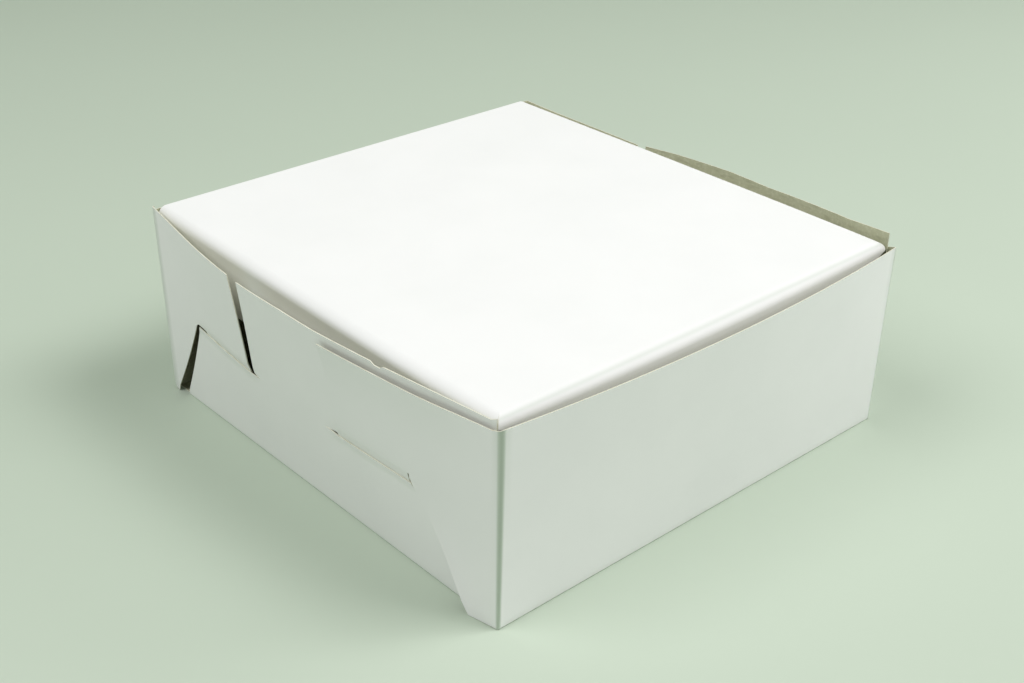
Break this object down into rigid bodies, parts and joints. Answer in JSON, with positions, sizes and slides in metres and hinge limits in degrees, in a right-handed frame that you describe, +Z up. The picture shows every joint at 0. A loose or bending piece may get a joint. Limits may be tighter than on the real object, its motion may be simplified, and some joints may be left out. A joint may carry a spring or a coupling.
{
  "type": "paperboard cake box",
  "caption": "Folded paperboard cake box with woven corner locks, a lid hinged along the rear wall, and tuck flaps on the lid.",
  "frame": {"origin": "on the table, under the middle of the box with its bulged walls", "axes": "+Z up, -Y out of the front wall, +Y out of the rear wall that carries the lid's hinge crease, +X to the right as seen from the front"},
  "size_m": [0.2737, 0.278, 0.1054],
  "materials": {
    "coated_board": "satin white coating outside, bare grey-brown board inside"
  },
  "bodies": {
    "tray": {"base_panel": "coated_board", "front_wall": "coated_board", "rear_wall": "coated_board", "left_side_wall": "coated_board", "right_side_wall": "coated_board", "front_left_ear": "coated_board", "front_right_ear": "coated_board", "rear_left_ear": "coated_board", "rear_right_ear": "coated_board"},
    "lid": {"lid_panel": "coated_board"},
    "front_flap": {"lid_front_flap": "coated_board"},
    "left_flap": {"lid_left_flap": "coated_board"},
    "right_flap": {"lid_right_flap": "coated_board"}
  },
  "joints": [
    {"name": "lid_hinge", "type": "hinge", "parent": "tray", "child": "lid", "pos_m": [0, 0.13675, 0.10425], "axis": [-1, 0, 0], "range_deg": [0, 200]},
    {"name": "front_flap_fold", "type": "hinge", "parent": "lid", "child": "front_flap", "pos_m": [0, -0.12667, 0.10021], "axis": [1, 0, 0], "range_deg": [0, 80]},
    {"name": "left_flap_fold", "type": "hinge", "parent": "lid", "child": "left_flap", "pos_m": [-0.1237, 0.00002, 0.10203], "axis": [0, -0.9999, -0.0144], "range_deg": [0, 80]},
    {"name": "right_flap_fold", "type": "hinge", "parent": "lid", "child": "right_flap", "pos_m": [0.1237, 0.00002, 0.10203], "axis": [0, 0.9999, 0.0144], "range_deg": [0, 80]}
  ]
}
